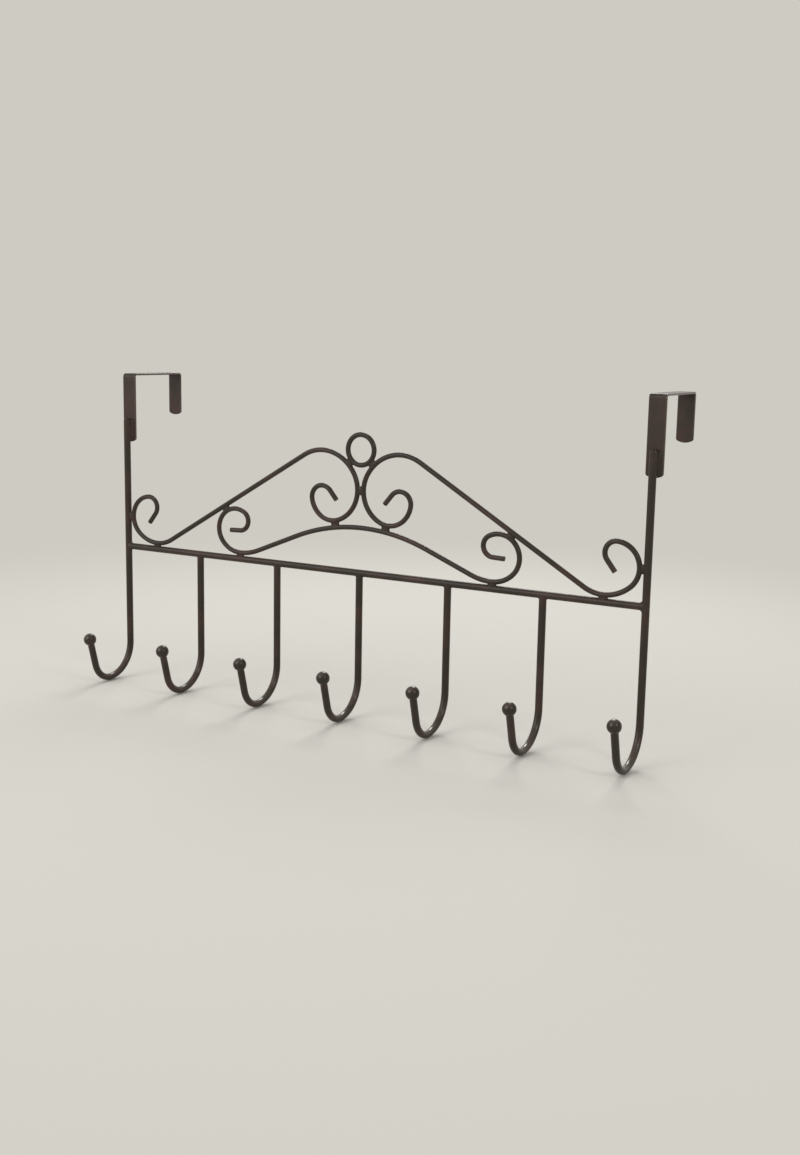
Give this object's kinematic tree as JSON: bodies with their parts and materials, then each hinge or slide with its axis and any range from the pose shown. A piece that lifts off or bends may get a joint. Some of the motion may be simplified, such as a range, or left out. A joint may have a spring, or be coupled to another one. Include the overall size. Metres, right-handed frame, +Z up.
{
  "type": "over door hook rack",
  "caption": "Welded wire rack that hangs over a door on folded straps, with ball-tipped coat hooks below a crossbar and a scrollwork crest above it.",
  "frame": {"origin": "on the top edge of the door, midway between the two straps and in the middle of the door's thickness", "axes": "+X along the rack to the right as seen from the room, +Y from the room towards the far side of the door, +Z up"},
  "size_m": [0.37, 0.0927, 0.2001],
  "materials": {
    "strap_coat": "dark bronze-brown baked coat, semi-gloss",
    "rod_coat": "dark bronze-brown baked coat, semi-gloss",
    "ball_coat": "dark bronze-brown baked coat, semi-gloss",
    "scroll_coat": "dark bronze-brown baked coat, semi-gloss",
    "weld_coat": "dark bronze-brown baked coat, semi-gloss"
  },
  "bodies": {
    "root": {"door_strap_left": "strap_coat", "door_strap_right": "strap_coat", "end_hook_left": "rod_coat", "end_hook_right": "rod_coat", "crossbar": "rod_coat", "hook_2": "rod_coat", "hook_3": "rod_coat", "hook_4": "rod_coat", "hook_5": "rod_coat", "hook_6": "rod_coat", "ball_tip_1": "ball_coat", "ball_tip_2": "ball_coat", "ball_tip_3": "ball_coat", "ball_tip_4": "ball_coat", "ball_tip_5": "ball_coat", "ball_tip_6": "ball_coat", "ball_tip_7": "ball_coat", "side_scroll_left": "scroll_coat", "side_scroll_right": "scroll_coat", "arch_scroll": "scroll_coat", "crest_ring": "scroll_coat", "strap_welds": "weld_coat", "bar_end_welds": "weld_coat", "hook_welds": "weld_coat", "scroll_welds": "weld_coat"}
  },
  "joints": []
}
